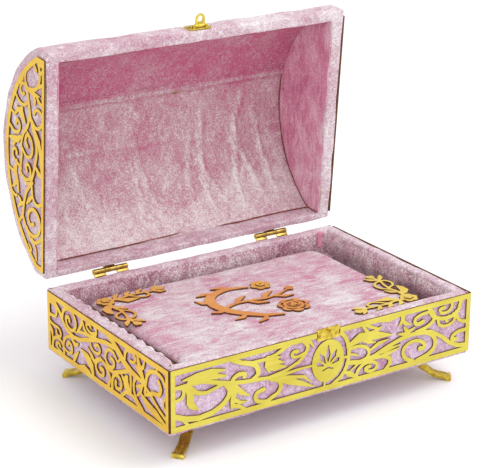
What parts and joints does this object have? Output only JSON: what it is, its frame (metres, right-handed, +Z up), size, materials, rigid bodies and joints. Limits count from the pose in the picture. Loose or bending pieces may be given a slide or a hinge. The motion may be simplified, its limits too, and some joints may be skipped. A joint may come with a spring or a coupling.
{
  "type": "jewelry box",
  "caption": "Dome-lidded velvet jewelry box with cut gilt scrollwork panels, cast feet, latch and a padded lift-out insert.",
  "frame": {"origin": "centre of the open box's bounding box, at floor level", "axes": "+X to the right along the hinge line, +Y from the latch front to the hinged back, +Z up"},
  "size_m": [0.2928, 0.2724, 0.2942],
  "materials": {
    "pale_velvet": "crushed pile with a pale sheen",
    "rose_velvet": "crushed pile, deeper rose",
    "felt": "flat felt",
    "board": "medium-density board, hidden under the velvet",
    "gilt_sheet": "cut sheet with a gold face and dark cut edges",
    "pale_gilt_sheet": "cut sheet with a pale gold face and dark cut edges",
    "copper_sheet": "cut sheet with a copper face and dark cut edges",
    "gilt_casting": "polished gilt casting",
    "brass": "polished"
  },
  "bodies": {
    "base": {"base_floor": "board", "base_front_wall": "board", "base_back_wall": "board", "base_left_wall": "board", "base_right_wall": "board", "base_outer_velvet": "pale_velvet", "base_lining": "rose_velvet", "base_underside_felt": "felt", "ledge_front": "pale_velvet", "ledge_back": "pale_velvet", "foot_front_left": "gilt_casting", "foot_front_right": "gilt_casting", "foot_back_left": "gilt_casting", "foot_back_right": "gilt_casting", "foot_screws_front_left": "brass", "foot_screws_front_right": "brass", "foot_screws_back_left": "brass", "foot_screws_back_right": "brass", "fret_front": "pale_gilt_sheet", "fret_left": "gilt_sheet", "fret_right": "gilt_sheet", "latch_catch": "gilt_casting", "latch_catch_screws": "brass", "hinge_left_base_leaf": "brass", "hinge_right_base_leaf": "brass", "hinge_left_pin": "brass", "hinge_right_pin": "brass", "hinge_left_base_screws": "brass", "hinge_right_base_screws": "brass"},
    "lid": {"lid_front_wall": "board", "lid_back_wall": "board", "lid_end_left": "board", "lid_end_right": "board", "lid_shell": "board", "lid_outer_velvet": "pale_velvet", "lid_lining_vault": "rose_velvet", "lid_lining_front": "rose_velvet", "lid_lining_back": "pale_velvet", "lid_lining_left": "rose_velvet", "lid_lining_right": "rose_velvet", "lid_fret_left": "gilt_sheet", "lid_fret_right": "gilt_sheet", "hinge_left_lid_leaf": "brass", "hinge_right_lid_leaf": "brass", "hinge_left_lid_screws": "brass", "hinge_right_lid_screws": "brass", "latch_plate": "gilt_casting", "latch_pin": "brass", "latch_plate_screws": "brass"},
    "hasp": {"latch_hasp": "gilt_casting"},
    "insert": {"insert_board": "board", "insert_pad": "pale_velvet", "ornament_back_left": "gilt_sheet", "ornament_front_right": "pale_gilt_sheet", "motif_branch": "copper_sheet", "motif_rosette": "copper_sheet", "motif_bloom": "copper_sheet"}
  },
  "joints": [
    {"name": "lid_hinge", "type": "hinge", "parent": "base", "child": "lid", "pos_m": [0, 0.06908, 0.0816], "axis": [-1, 0, 0], "range_deg": [-85.5, 0]},
    {"name": "latch_swing", "type": "hinge", "parent": "lid", "child": "hasp", "pos_m": [0, 0.05618, 0.28381], "axis": [-1, 0, 0], "range_deg": [-90, 70]},
    {"name": "insert_lift", "type": "slide", "parent": "base", "child": "insert", "axis": [0, 0, 1], "range_m": [0, 0.026]}
  ]
}
